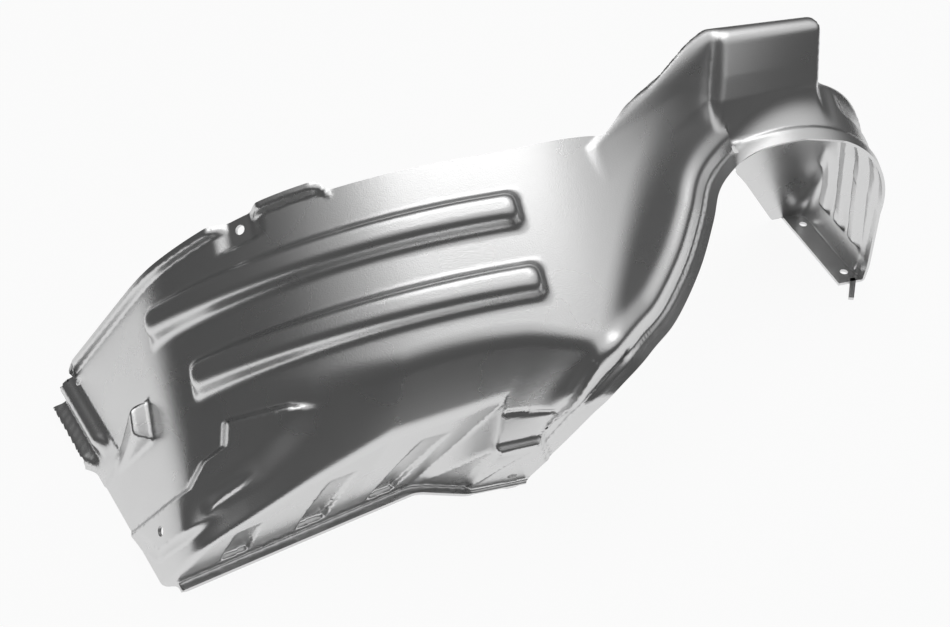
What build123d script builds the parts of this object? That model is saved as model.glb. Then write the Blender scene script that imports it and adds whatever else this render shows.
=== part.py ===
"""Wheel arch liner: one vacuum-formed plastic sheet, lying as it rests on a table.

The sheet is drawn over a mould.  mould(inset) gives the mould body with every
face moved in by the same amount, so the sheet is mould(0) less mould(WALL).
The sheet is then trimmed, given its turned edges and punched.  X runs along the
car, Y towards the outer wing and Z up.
"""
from build123d import *
import math
import os

# Sheet
WALL = 3.0
HOLE_D = 8.5

# Barrel over the wheel, in its own tilted frame: x along, w across, n outwards
ARCH_R = 400.0
TILT = 30.2
BEND_DEG = 45.0
NOSE_DEG = 57.0

# Places and spans are stated for a barrel of this radius and grow with the real one
STATED_R = 400.0
SIZE = ARCH_R / STATED_R
FAR = 2.25 * ARCH_R


def sized(value):
    """Stated length, or a group of them, at the real size."""
    if isinstance(value, tuple):
        return tuple(sized(v) for v in value)
    return value * SIZE


AXIS_Z = sized(-204.4)

# Wing edge: the barrel ends in a ledge one step lower, and turns in at the nose
WING_W = sized(247.0)
LEDGE_STEP = 5.0
LEDGE_W = WING_W + 9.0
LEDGE_START_W = sized(150.0)
LEDGE_END_X = sized(140.0)
TURN_X = sized(-235.0)
TURN_WAY = (-0.247, 0.969, 0.0)
TAB_DEG = 31.0
TAB_SPAN = 5.0
TAB_W = WING_W - 16.0

# Two stiffening beads on the barrel: edges across, and their start and end angle
BEAD_EDGES = sized(((180.0, 212.0), (119.0, 150.0)))
BEAD_ANGLES = ((46.0, -1.5), (40.0, -2.0))
BEAD_H = 14.0
BEAD_ROUND = 6.0

# Engine-side wall: foot x, lean to the rear per height, how far it stands out, and
# how far its waist is pushed across and outwards
WALL_STATIONS = (
    (-430.0, 0.00, 0.0, 0.0, 0.0),
    (-284.0, 0.00, 0.0, 0.0, 0.0),
    (-241.0, 0.10, 0.0, 0.0, 0.0),
    (-199.0, 0.20, 0.0, -1.0, 4.0),
    (-155.0, 0.32, 0.0, -6.0, 16.0),
    (-98.0, 0.50, 0.0, -8.0, 23.0),
    (-90.0, 0.50, 2.0, -35.0, -13.0),
    (-58.0, 0.52, 13.0, -24.0, -16.0),
    (-51.0, 0.52, 15.0, -8.0, 18.0),
    (20.0, 0.55, 15.0, -8.0, 18.0),
    (300.0, 0.55, 15.0, 0.0, 0.0),
)
SHOULDER_W = sized(92.0)
LIP_WIDTH = 9.0

# Recessed flutes in that wall: left foot x, width and height, and how each leans
FLUTES = sized(((-262.0, 21.0, 36.0), (-199.0, 23.0, 58.0), (-137.0, 23.0, 78.0)))
FLUTE_LEAN = (0.40, 0.45, 0.50)
FLUTE_DEPTH = 7.0
FLUTE_Y = sized((-180.0, 40.0))
FLUTE_Z = sized(11.0)

# Raised panel that wraps from the shoulder over the nose into a screw tongue
PANEL = sized((
    (-150.0, 74.0), (-192.0, 87.0), (-240.0, 92.0), (-244.0, 74.0), (-262.0, 68.0),
    (-276.0, 52.0), (-330.0, 44.0), (-309.0, 14.0), (-284.0, 17.0), (-215.0, 36.0),
))
PANEL_H = 9.0

# Slope that falls from the barrel to the strut bay
SLOPE_POINT = sized((98.0, -49.0, 216.0))
SLOPE_NORMAL = (0.538, -0.579, 0.612)

# Rear leg: an arch swept across the car, closed towards the wing
LEG_X = sized(302.0)
LEG_Z = sized(90.0)
LEG_R = sized(115.0)
LEG_WALL_X = LEG_X + LEG_R + sized(10.0)
LEG_KNEE_Z = sized(10.0)
LEG_Y = sized(62.0)
LEG_END_Y = sized(216.0)
LEG_DEEP = sized(200.0)
LEG_END_LEAN = (0.0, 0.93, 0.37)
LEG_GROOVES = sized(((98.0, 114.0), (130.0, 146.0), (162.0, 178.0)))
LEG_GROOVE_DEPTH = 8.0
LEG_GROOVE_Z = sized(34.0)
LEG_GROOVE_X = 0.62 * LEG_R
LEG_FLANGE = 27.0
LEG_FLANGE_Y = LEG_Y + sized(24.0)
LEG_FRONT_Y = sized(84.0)
LEG_FRONT_LEAN = 0.122
HOOK = sized(((-11.0, 26.0), (-29.0, -2.0), (-24.0, -4.0), (-4.0, 26.0)))

# Lower edge of the leg's closed end, the way it was trimmed and the height it stops at
LEG_CUT = sized(((309.0, 174.0, 105.0), (381.0, 213.0, 9.0)))
LEG_CUT_WAY = (0.42, 0.75, -0.52)
LEG_CUT_Z = sized(150.0)

# Wheel clearance towards the wing; towards the rear it keeps further ahead
GAP_X = sized(-40.0)

# Tower over the strut top: height, corner rounding and outline, from its foot up
TOWER = sized((
    (170.0, 4.5, ((10.0, -20.0), (214.0, 66.0), (220.0, 57.0), (334.0, 78.0), (350.0, 150.0), (155.0, 150.0))),
    (240.0, 4.5, ((62.0, -24.0), (226.0, 95.0), (233.0, 84.0), (338.0, 98.0), (346.0, 150.0), (215.0, 150.0))),
    (258.0, 4.5, ((98.0, 24.0), (230.0, 106.0), (238.0, 95.0), (339.0, 105.0), (344.0, 148.0), (240.0, 148.0))),
    (290.0, 4.0, ((219.0, 128.0), (238.0, 124.0), (245.0, 117.0), (341.0, 117.0), (339.0, 134.0), (231.0, 135.0))),
))

# Stretch of the barrel under the tower's slanted side
SADDLE_X = sized((140.0, 228.0))
SADDLE_LAP = sized(20.0)
SADDLE_REACH = sized(70.0)

# Ramp that clears a clip on the nose: plan as drop below the bend and w, and height
RAMP = sized(((30.0, 107.0), (30.0, 143.0), (95.0, 116.0), (95.0, 100.0)))
RAMP_H = 17.0

# Corrugated foot under the nose: span along the floor and its two beads
FOOT_Y = sized((14.0, 126.0))
FOOT_SECTION = ((-14.0, 11.0), (7.0, 11.0), (11.0, 2.0), (17.0, 2.0), (21.0, 9.0), (30.0, 9.0), (37.0, 0.0))

# Screw pad on the part of the wall that stands out, as x and z corners
PAD = sized(((-40.0, 0.0), (-20.0, 38.0), (14.0, 38.0), (2.0, 0.0)))
PAD_Y = sized((-170.0, -30.0))
PAD_H = 5.0

# Bay opening, as seen square on along the trimming direction
TRIM_AZIMUTH = -15.3
TRIM_RISE = 38.8
BAY = sized((
    (27.0, -57.0), (55.6, -20.8), (87.4, 22.0), (120.5, 57.4), (145.8, 82.4), (172.0, 125.0),
    (189.0, 167.0), (198.0, 196.0), (216.0, 218.0), (236.0, 233.5), (257.0, 241.0), (285.0, 247.0),
))
BAY_FOOT = (BAY[0][0] - sized(60.0), sized(-400.0))
BAY_RIM = 13.0
BAY_RIM_H = 5.0
BAY_RIM_Z = sized(118.0)

# Hole centres: on the wall as x and z, on the nose as w and drop, on the foot, the tab and the rear flange
PAD_HOLE = sized((-13.0, 20.0))
TONGUE_HOLE = sized((30.0, 24.0))
FOOT_HOLE = sized((-363.3, 97.0, 36.0))
TAB_HOLE_W = WING_W - 3.0
REAR_HOLES = sized((101.0, 193.0))
REAR_HOLE_X = LEG_WALL_X - 12.0

ARCH = Location((0, 0, AXIS_Z), (TILT, 0, 0))


def direction(frame, x, y, z):
    """Direction (x, y, z) of a frame, in the rest frame."""
    return (frame * Pos(x, y, z)).position - frame.position


def behind(point, normal, inset=0.0):
    """Half space behind a plane that is moved back by the inset."""
    side = Plane(origin=point, z_dir=normal)
    block = Box(2 * FAR, 2 * FAR, FAR, align=(Align.CENTER, Align.CENTER, Align.MAX))
    return side * Pos(0, 0, -inset) * block


def roller(radius, w0, w1):
    """Cylinder round the wheel axis, from w0 to w1 across the car."""
    rod = Cylinder(radius, w1 - w0, align=(Align.CENTER, Align.CENTER, Align.MIN))
    return ARCH * Pos(0, w0, 0) * Rot(-90, 0, 0) * rod


def ring_piece(frame, section, start, end):
    """Section in the frame's w-n plane, turned about its w axis from start to end."""
    upright = Plane(origin=(0, 0, 0), x_dir=(0, 1, 0), z_dir=(1, 0, 0))
    face = Rot(0, -start, 0) * (upright * make_face(Polyline(*section, close=True)))
    return frame * revolve(face, axis=Axis.Y, revolution_arc=start - end)


def bead(frame, radius, w0, w1, start, end, height, rounding, inset):
    """Rounded bead that stands on a cylinder of the given radius."""
    lean = height * 0.45
    side = inset * 1.1
    top = radius + height - inset
    turn = math.degrees(side / radius)
    root = radius - height
    section = (
        (w0 + side - lean, root), (w0 + side + lean, top), (w1 - side - lean, top), (w1 - side + lean, root),
    )
    body = ring_piece(Location(), section, start - turn, end + turn)
    crest = [e for e in body.edges() if math.hypot((e @ 0.5).X, (e @ 0.5).Z) > radius]
    return frame * fillet(crest, rounding - inset)


def nose():
    """Point and outward direction of the flat front face."""
    bend = math.radians(BEND_DEG)
    fall = math.radians(NOSE_DEG)
    point = (ARCH * Pos(-ARCH_R * math.sin(bend), 0, ARCH_R * math.cos(bend))).position
    return point, direction(ARCH, -math.sin(fall), 0, math.cos(fall))


def wall_corners(station):
    """Foot, waist and shoulder (x, w, n) of the engine-side wall at one station."""
    x, lean, out, push_w, push_n = station
    shoulder, lip_out, radius = SHOULDER_W / SIZE, LIP_WIDTH / SIZE, ARCH_R / SIZE
    run = min(x, -90.0) + 284.0
    foot = (x, -14.0 + 0.232 * run + lip_out - out, 245.0 - 0.139 * run)
    waist = (x, 0.0, 300.0)
    top = (x, 0.0, 380.0)
    for _ in range(6):
        way = x + lean * (waist[2] - foot[2])
        run = min(way, -90.0) + 284.0
        rise = 289.0 + 0.30 * run - 0.0005 * run * run + 0.1 * max(way + 90.0, 0.0)
        waist = (way, 0.34 * run - out + push_w, rise + push_n)
        way = x + lean * (top[2] - foot[2])
        crown = math.sqrt(radius**2 - min(abs(way), 330.0) ** 2)
        top = (way, shoulder - out, max(crown, waist[2] + 4.0))
    return tuple(tuple(c * SIZE for c in corner) for corner in (foot, waist, top))


def shifted(a, b, inset):
    """Line from a to b moved to its right by the inset."""
    dx, dy = b[0] - a[0], b[1] - a[1]
    size = math.hypot(dx, dy)
    ox, oy = dy / size * inset, -dx / size * inset
    return (a[0] + ox, a[1] + oy), (b[0] + ox, b[1] + oy)


def crossing(p, q, r, s):
    """Point where line p-q meets line r-s."""
    d1 = (q[0] - p[0], q[1] - p[1])
    d2 = (s[0] - r[0], s[1] - r[1])
    cross = d1[0] * d2[1] - d1[1] * d2[0]
    t = ((r[0] - p[0]) * d2[1] - (r[1] - p[1]) * d2[0]) / cross
    return p[0] + t * d1[0], p[1] + t * d1[1]


def wall_section(station, inset):
    """Cross face of the space behind the engine-side wall at one station."""
    lean = station[1]
    corners = wall_corners(station)
    x = corners[0][0]
    foot, waist, top = [c[1:] for c in corners]
    low = shifted(foot, waist, inset)
    high = shifted(waist, top, inset)
    edge_w = SHOULDER_W + sized(25.0)
    high_n, wide_w = 1.2 * ARCH_R, 1.3 * ARCH_R
    under = crossing(low[0], low[1], (0, 0), (1, 0))
    corner = crossing(low[0], low[1], high[0], high[1])
    over = crossing(high[0], high[1], (edge_w, 0), (edge_w, 1))
    flat = (under, corner, over, (edge_w, high_n), (wide_w, high_n), (wide_w, 0))
    return make_face(Polyline(*[(x + lean * (n - foot[1]), w, n) for w, n in flat], close=True))


def wall_space(inset):
    """Everything on the wheel side of the engine-side wall."""
    return ARCH * loft([wall_section(s, inset) for s in WALL_STATIONS], ruled=True)


def wing_turn(w, inset=0.0):
    """Half space inside the wing edge where it turns in towards the nose."""
    point = (ARCH * Pos(TURN_X, w, 0)).position
    return behind(point, direction(ARCH, *TURN_WAY), inset)


def base(inset):
    """Barrel with its nose, bay slope and engine-side wall."""
    point, ahead = nose()
    body = roller(ARCH_R - inset, -0.3 * ARCH_R, WING_W - inset) & wing_turn(WING_W, inset)
    body = body & behind(point, ahead, inset)
    body = body & behind(SLOPE_POINT, SLOPE_NORMAL, inset)
    return body & wall_space(inset)


def ledge(inset):
    """Step along the wing edge; the inner one runs out through the open side."""
    point, ahead = nose()
    drop = LEDGE_STEP + inset
    body = roller(ARCH_R - drop, LEDGE_START_W, LEDGE_W + 20 * inset)
    body = body & wing_turn(LEDGE_W + 20 * inset) & behind((LEDGE_END_X, 0, 0), (1, 0, 0))
    return body & behind(point, ahead, drop) & behind(SLOPE_POINT, SLOPE_NORMAL, drop)


def tab_recess(inset):
    """Space over the clip tab, where the ledge reaches in towards the beads."""
    turn = TAB_SPAN / 2 + math.degrees(inset / ARCH_R)
    floor = ARCH_R - LEDGE_STEP - inset
    section = ((TAB_W - inset, floor), (TAB_W - inset - 6, floor + 30), (LEDGE_W, floor + 30), (LEDGE_W, floor))
    return ring_piece(ARCH, section, TAB_DEG + turn, TAB_DEG - turn)


def panel(inset):
    """Raised panel along the shoulder with its tongue down the nose."""
    outline = offset(make_face(Polyline(*PANEL, close=True)), -inset)
    prism = ARCH * Pos(0, 0, 0.4 * ARCH_R) * extrude(outline, 0.8 * ARCH_R)
    return base(inset - PANEL_H) & prism


def upright_prism(outline, y0, y1, grow=0.0):
    """Prism along Y with an outline in x and z."""
    face = make_face(Polyline(*outline, close=True))
    if grow:
        face = offset(face, grow, kind=Kind.INTERSECTION)
    side = Plane(origin=(0, y0, 0), x_dir=(1, 0, 0), z_dir=(0, -1, 0))
    return side * extrude(face, y0 - y1)


def screw_pad(inset):
    """Raised pad for the screw on the engine-side wall."""
    return base(inset - PAD_H) & upright_prism(PAD, *PAD_Y, -inset)


def flutes(body, inset):
    """Body with the recessed flutes taken out of its engine-side wall."""
    for (x, width, height), lean in zip(FLUTES, FLUTE_LEAN):
        slip = lean * height
        outline = (
            (x, FLUTE_Z), (x + width, FLUTE_Z), (x + width + slip, FLUTE_Z + height), (x + slip, FLUTE_Z + height),
        )
        body = body - upright_prism(outline, *FLUTE_Y, inset)
    return body


def nose_plane():
    """Plane on the nose with its origin on the bend, x down the face and y towards the engine."""
    bend = math.radians(BEND_DEG)
    fall = math.radians(NOSE_DEG)
    point = (ARCH * Pos(-ARCH_R * math.sin(bend), 0, ARCH_R * math.cos(bend))).position
    down = direction(ARCH, -math.cos(fall), 0, -math.sin(fall))
    return Plane(origin=point, x_dir=down, z_dir=direction(ARCH, -math.sin(fall), 0, math.cos(fall)))


def ramp(inset):
    """Clip ramp on the nose, wide and high at its upper end."""
    side = nose_plane()
    plan = make_face(Polyline(*[(drop, -w) for drop, w in RAMP], close=True))
    if inset:
        plan = offset(plan, -inset, kind=Kind.INTERSECTION)
    prism = side * Pos(0, 0, -RAMP_H) * extrude(plan, 3 * RAMP_H)
    foot_drop = RAMP[2][0]
    length = foot_drop - RAMP[0][0]
    roof_way = side.x_dir * RAMP_H + side.z_dir * length
    roof_foot = side.origin + side.x_dir * foot_drop
    return prism & behind(roof_foot, roof_way, inset)


def foot(inset):
    """Corrugated foot that stands on the floor under the nose."""
    point, ahead = nose()
    along = Vector(0, 0, 1).cross(ahead).normalized()
    if along.Y < 0:
        along = along * -1
    up = ahead.cross(along)
    if up.Z < 0:
        up = up * -1
    start = floor_point(point, ahead, FOOT_Y[0])
    side = Plane(origin=start, x_dir=up, z_dir=along)
    flip = 1 if side.y_dir.dot(ahead) > 0 else -1
    depth = FOOT_SECTION[0][1]
    low, high = 3 * FOOT_SECTION[0][0], FOOT_SECTION[-1][0]
    corners = ((low, depth),) + FOOT_SECTION + ((high, -1.5 * depth), (low, -1.5 * depth))
    profile = [(t, flip * h) for t, h in corners]
    face = offset(make_face(Polyline(*profile, close=True)), -inset, kind=Kind.INTERSECTION)
    length = (FOOT_Y[1] - FOOT_Y[0]) / along.Y
    return side * Pos(0, 0, inset) * extrude(face, length - 2 * inset)


def floor_point(point, normal, y):
    """Point of a plane on the floor at the given y."""
    x = point.X - ((y - point.Y) * normal.Y - point.Z * normal.Z) / normal.X
    return Vector(x, y, 0)


def leg_profile(inset):
    """Arch of the rear leg in x and z."""
    left = (LEG_X - LEG_R, -LEG_DEEP)
    start = (LEG_X - LEG_R, LEG_Z)
    top = (LEG_X, LEG_Z + LEG_R)
    end = (LEG_X + LEG_R, LEG_Z)
    knee = (LEG_WALL_X, LEG_KNEE_Z)
    foot_end = (LEG_WALL_X, -LEG_DEEP)
    sides = [Line(left, start), ThreePointArc(start, top, end), Polyline(end, knee, foot_end), Line(foot_end, left)]
    face = make_face(sides)
    return offset(face, -inset, kind=Kind.INTERSECTION) if inset else face


def leg_body(inset, y0, y1):
    """Arch swept across the car between two places in y."""
    side = Plane(origin=(0, y0, -math.tan(math.radians(TILT)) * (LEG_Y - y0)), x_dir=(1, 0, 0), z_dir=(0, -1, 0))
    run = (y1 - y0) / math.cos(math.radians(TILT))
    return extrude(side * leg_profile(inset), run, dir=direction(ARCH, 0, 1, 0))


def leg(inset):
    """Rear leg with its closed end towards the wing and its grooves."""
    end = behind((0, LEG_END_Y, 0), LEG_END_LEAN, inset)
    body = leg_body(inset, LEG_Y - inset / 3, LEG_END_Y + 20) & end
    for y0, y1 in LEG_GROOVES:
        groove = leg_body(inset - 20, y0 - inset, y1 + inset) - leg_body(inset + LEG_GROOVE_DEPTH, y0 - 9, y1 + 9)
        groove = groove & behind((LEG_X + LEG_GROOVE_X - inset, 0, 0), (-1, 0, 0))
        body = body - (groove & above_floor(FAR, LEG_GROOVE_Z - inset))
    return body


def tower_section(z, rounding, corners, inset):
    """Outline of the tower at one height, rounded where it faces the bay."""
    face = make_face(Polyline(*corners, close=True))
    seen = [v for v in face.vertices() if min(math.dist((v.X, v.Y), c) for c in corners[1:4]) < 0.01]
    face = fillet(seen, rounding)
    if inset:
        face = offset(face, -inset, kind=Kind.INTERSECTION)
    return Pos(0, 0, z) * face


def tower(inset):
    """Tower over the rear of the arch; the inner one reaches down into the leg."""
    top = TOWER[-1][0]
    sections = [tower_section(z - inset * (z == top), r, corners, inset) for z, r, corners in TOWER]
    body = loft(sections, ruled=True)
    if inset:
        body = body + extrude(sections[0], -12 * inset)
    return body


def saddle(inset):
    """Stretch of the barrel beyond the wing edge, in front of the tower's slanted ridge."""
    low, high = Vector(*TOWER[2][2][0]), Vector(*TOWER[3][2][0])
    aside = Vector(low.Y - high.Y, high.X - low.X).normalized()
    body = roller(ARCH_R - inset, WING_W - SADDLE_LAP, WING_W + SADDLE_REACH)
    body = body - roller(ARCH_R - 4 * WALL - 15 * inset, 0, WING_W + 2 * SADDLE_REACH)
    body = body & behind((SADDLE_X[0], 0, 0), (-1, 0, 0)) & behind((SADDLE_X[1], 0, 0), (1, 0, 0), inset)
    return body & behind(SLOPE_POINT, SLOPE_NORMAL, inset) & behind(low, aside, 2 * WALL)


def spread(points, amount):
    """Open line of points moved to its left by an amount."""
    moved = []
    for i, (x, y) in enumerate(points):
        before = points[max(i - 1, 0)]
        after = points[min(i + 1, len(points) - 1)]
        dx, dy = after[0] - before[0], after[1] - before[1]
        size = math.hypot(dx, dy)
        moved.append((x - dy / size * amount, y + dx / size * amount))
    return moved


def bay_cutter(grow=0.0):
    """Prism along the trimming direction through the bay opening."""
    turn, rise = math.radians(TRIM_AZIMUTH), math.radians(TRIM_RISE)
    right = Vector(math.cos(turn), math.sin(turn), 0)
    back = Vector(math.sin(turn) * math.cos(rise), -math.cos(turn) * math.cos(rise), math.sin(rise))
    points = spread(BAY, grow)
    start, end = points[0], points[-1]
    outline = Polyline(end, (FAR, end[1]), (FAR, BAY_FOOT[1]), BAY_FOOT, start)
    face = make_face([Spline(*points), outline])
    side = Plane(origin=(0, 0, 0), x_dir=right, z_dir=back)
    prism = side * Pos(0, 0, -FAR) * extrude(face, 2 * FAR)
    return prism & behind((0, LEG_FRONT_Y + grow, 0), (0, 1, LEG_FRONT_LEAN))


def leg_relief():
    """Space cut away under the leg's inner flank, which stops short of the floor."""
    start, end = Vector(*LEG_CUT[0]), Vector(*LEG_CUT[1])
    kept = (end - start).cross(Vector(*LEG_CUT_WAY)).normalized()
    space = behind(start, kept) & behind((0, 0, LEG_CUT_Z), (0, 0, 1))
    space = space & behind((0, LEG_Y - WALL, 0), (0, -1, 0))
    space = space & behind((LEG_X - 1.3 * LEG_R, 0, 0), (-1, 0, 0))
    return space & behind((LEG_WALL_X - LEG_FLANGE - 2 * WALL, 0, 0), (1, 0, 0))


def bay_rim(inset):
    """Raised band round the bay opening, from the wall over to the leg."""
    lifted = base(inset - BAY_RIM_H) & bay_cutter(BAY_RIM - inset)
    arch = leg_body(inset - BAY_RIM_H, LEG_Y - inset / 3, LEG_Y + BAY_RIM - inset)
    return lifted + (arch & above_floor(FAR, BAY_RIM_Z + inset))


def mould(inset):
    """Whole mould body, with every face moved in by the inset."""
    body = base(inset) - tab_recess(inset)
    body = flutes(body, inset) + base(inset + FLUTE_DEPTH)
    body = body + ledge(inset)
    for (w0, w1), (start, end) in zip(BEAD_EDGES, BEAD_ANGLES):
        body = body + bead(ARCH, ARCH_R, w0, w1, start, end, BEAD_H, BEAD_ROUND, inset)
    for raised in (panel, screw_pad, ramp, foot, bay_rim, saddle, leg, tower):
        body = body + raised(inset)
    return body


def above_floor(height=FAR, z0=0.0):
    """Slab from z0 up."""
    return Pos(0, 0, z0) * Box(3 * FAR, 3 * FAR, height, align=(Align.CENTER, Align.CENTER, Align.MIN))


def formed_sheet():
    """Sheet between the two mould bodies, open below, at the bay and to the wheel."""
    wheel = roller(ARCH_R - LEDGE_STEP - WALL, WING_W - 2 * WALL, 1.2 * ARCH_R)
    gap = wheel & (Pos(GAP_X, 0, 0) * wheel)
    sheet = mould(0.0) - mould(WALL) - gap
    return sheet & above_floor()


def lip():
    """Flange turned outwards along the foot of the engine-side wall."""
    point, ahead = nose()
    strip = Pos(-0.18 * ARCH_R, -0.2 * ARCH_R, WALL / 2) * Box(1.55 * ARCH_R, 0.6 * ARCH_R, WALL)
    strip = (strip & wall_space(-LIP_WIDTH)) - wall_space(WALL / 2)
    return strip & behind(point, ahead, LIP_WIDTH)


def rear_flange():
    """Foot flange turned inwards under the rear leg, with its hooked front end."""
    plate = leg_body(0.0, LEG_Y, LEG_END_Y + 20) & behind((0, LEG_END_Y, 0), LEG_END_LEAN)
    plate = plate & above_floor(WALL)
    strip = Pos(LEG_WALL_X, 0, 0) * Box(2 * LEG_FLANGE, 2 * FAR, FAR)
    plate = plate & strip & behind((0, LEG_FLANGE_Y, 0), (0, -1, 0))
    hook = make_face(Polyline(*HOOK, close=True))
    return plate + Pos(LEG_WALL_X, LEG_Y, 0) * extrude(hook, WALL)


def punches():
    """Round pins for every screw and clip hole."""
    low, waist, _ = wall_corners(WALL_STATIONS[-2])
    pad_way = direction(ARCH, 0, low[2] - waist[2], waist[1] - low[1])
    front = nose_plane()
    tongue_at = front.origin + front.x_dir * TONGUE_HOLE[1] - front.y_dir * TONGUE_HOLE[0]
    turn = math.radians(TAB_DEG)
    tab_at = (ARCH * Pos(-ARCH_R * math.sin(turn), TAB_HOLE_W, ARCH_R * math.cos(turn))).position
    places = [
        Plane(origin=(PAD_HOLE[0], sized(-95.0), PAD_HOLE[1]), z_dir=pad_way),
        Plane(origin=tongue_at, z_dir=front.z_dir),
        Plane(origin=FOOT_HOLE, z_dir=front.z_dir),
        Plane(origin=tab_at, z_dir=direction(ARCH, -math.sin(turn), 0, math.cos(turn))),
    ]
    for y in REAR_HOLES:
        places.append(Plane(origin=(REAR_HOLE_X, y, 0), z_dir=(0, 0, 1)))
    return [place * Cylinder(HOLE_D / 2, 60) for place in places]


def liner():
    """Formed sheet, trimmed, with its turned edges and punched holes."""
    sheet = formed_sheet() - bay_cutter() - leg_relief()
    sheet = sheet + (lip() - bay_cutter()) + rear_flange()
    for pin in punches():
        sheet = sheet - pin
    return sheet


def main():
    """Build the liner, put its origin under its middle and write it out."""
    os.makedirs("parts", exist_ok=True)
    sheet = liner()
    box = sheet.bounding_box()
    sheet = Pos(-box.center().X, -box.center().Y, -box.min.Z) * sheet
    print("solids", len(sheet.solids()), "volume", round(sheet.volume), "box", box)
    export_step(sheet, "parts/liner_shell.step")


if __name__ == "__main__":
    main()
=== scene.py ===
"""Wheel arch liner: one vacuum-formed sheet of black plastic in a plain studio.

The sheet's outer face is the zero level of a smooth distance field of the mould.
The field is sampled on a grid, turned into a quad mesh, trimmed along the sheet's
edges, punched and given its wall.  Lengths are in millimetres until a mesh is made.
Points are arrays with a row for each, in the frame that the mould was measured in.
"""
import logging
import math
from dataclasses import dataclass, field
from enum import Enum
from itertools import product
from typing import Callable

import bpy
import numpy as np
from mathutils import Matrix


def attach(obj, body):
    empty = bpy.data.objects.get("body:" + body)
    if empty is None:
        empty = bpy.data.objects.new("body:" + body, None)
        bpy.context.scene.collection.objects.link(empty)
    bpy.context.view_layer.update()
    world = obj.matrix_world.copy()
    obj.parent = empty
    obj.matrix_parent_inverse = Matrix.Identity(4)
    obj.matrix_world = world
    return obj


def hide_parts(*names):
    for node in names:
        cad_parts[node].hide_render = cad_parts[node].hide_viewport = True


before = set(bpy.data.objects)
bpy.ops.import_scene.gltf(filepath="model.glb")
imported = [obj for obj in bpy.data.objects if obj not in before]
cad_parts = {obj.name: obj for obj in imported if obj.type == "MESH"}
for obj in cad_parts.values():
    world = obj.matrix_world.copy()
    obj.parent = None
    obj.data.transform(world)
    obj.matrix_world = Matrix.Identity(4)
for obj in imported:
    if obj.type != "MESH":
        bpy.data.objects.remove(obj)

LOG = logging.getLogger("liner")
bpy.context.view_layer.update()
NODE = "liner_shell"

# The row's origin lies under the middle of the part's box
ORIGIN = np.array([11.0944, 33.4133, 0.0])

# The photograph's viewing angle, along which the bay's opening is drawn too
VIEW_AZIMUTH = math.radians(-15.3)
VIEW_RISE = math.radians(38.8)

Array = np.ndarray
Field = Callable[[Array], Array]


class Round(Enum):
    """Blend lengths in millimetres for the mould's rounded edges."""

    TIGHT = 3.0
    FIRM = 5.0
    SOFT = 8.0
    BROAD = 13.0


def smax(a: Array, b: Array, k: float) -> Array:
    """Rounded maximum of two distances.

    Args:
        a: First distance.
        b: Second distance.
        k: Blend length.

    Returns:
        The larger distance, with the corner between them rounded.
    """
    h = np.maximum(k - np.abs(a - b), 0.0) / k
    return np.maximum(a, b) + h * h * (k * 0.25)


def smin(a: Array, b: Array, k: float) -> Array:
    """Rounded minimum of two distances, with the same arguments as smax."""
    return -smax(-a, -b, k)


def smoothstep(a: float, b: float, x: Array) -> Array:
    """Smooth ramp from 0 at a to 1 at b."""
    t = np.clip((x - a) / (b - a), 0.0, 1.0)
    return t * t * (3.0 - 2.0 * t)


def fade(a: float, b: float, x: Array) -> Array:
    """Smooth ramp from 1 at a to 0 at b."""
    return 1.0 - smoothstep(a, b, x)


def plateau(edge: Array, width: float) -> Array:
    """Smooth level top: 1 inside an edge, 0 outside it, over a sloping side of some width."""
    return fade(-width / 2, width / 2, edge)


def path_distance(u: Array, v: Array, points: tuple) -> Array:
    """Distance of points from an open line of straight stretches.

    Args:
        u: First coordinate of each point.
        v: Second coordinate of each point.
        points: Corner pairs of the line.

    Returns:
        Distance of each point.
    """
    best = np.full(u.shape, np.inf)
    for (au, av), (bu, bv) in zip(points, points[1:]):
        eu, ev = bu - au, bv - av
        t = np.clip(((u - au) * eu + (v - av) * ev) / (eu * eu + ev * ev), 0.0, 1.0)
        best = np.minimum(best, np.hypot(u - au - eu * t, v - av - ev * t))
    return best


def polygon_distance(u: Array, v: Array, corners: list | tuple) -> Array:
    """Signed distance to a closed outline, negative inside.

    Args:
        u: First coordinate of each point.
        v: Second coordinate of each point.
        corners: Corner pairs; a corner's values may vary from point to point.

    Returns:
        Distance of each point.
    """
    best = np.full(u.shape, np.inf)
    sign = np.ones(u.shape)
    for i, (bu, bv) in enumerate(corners):
        au, av = corners[i - 1]
        eu, ev = au - bu, av - bv
        wu, wv = u - bu, v - bv
        t = np.clip((wu * eu + wv * ev) / (eu * eu + ev * ev), 0.0, 1.0)
        best = np.minimum(best, (wu - eu * t) ** 2 + (wv - ev * t) ** 2)
        over, under, left = v >= bv, v < av, eu * wv > ev * wu
        flip = (over & under & left) | (~over & ~under & ~left)
        sign = np.where(flip, -sign, sign)
    return sign * np.sqrt(best)


def view_axes() -> tuple[Array, Array, Array]:
    """Directions of the photograph's view.

    Returns:
        Unit vectors to the right, up the picture and back to the camera.
    """
    ca, sa = math.cos(VIEW_AZIMUTH), math.sin(VIEW_AZIMUTH)
    cr, sr = math.cos(VIEW_RISE), math.sin(VIEW_RISE)
    right = np.array([ca, sa, 0.0])
    up = np.array([-sa * sr, ca * sr, cr])
    return right, up, np.array([sa * cr, -ca * cr, sr])


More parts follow.
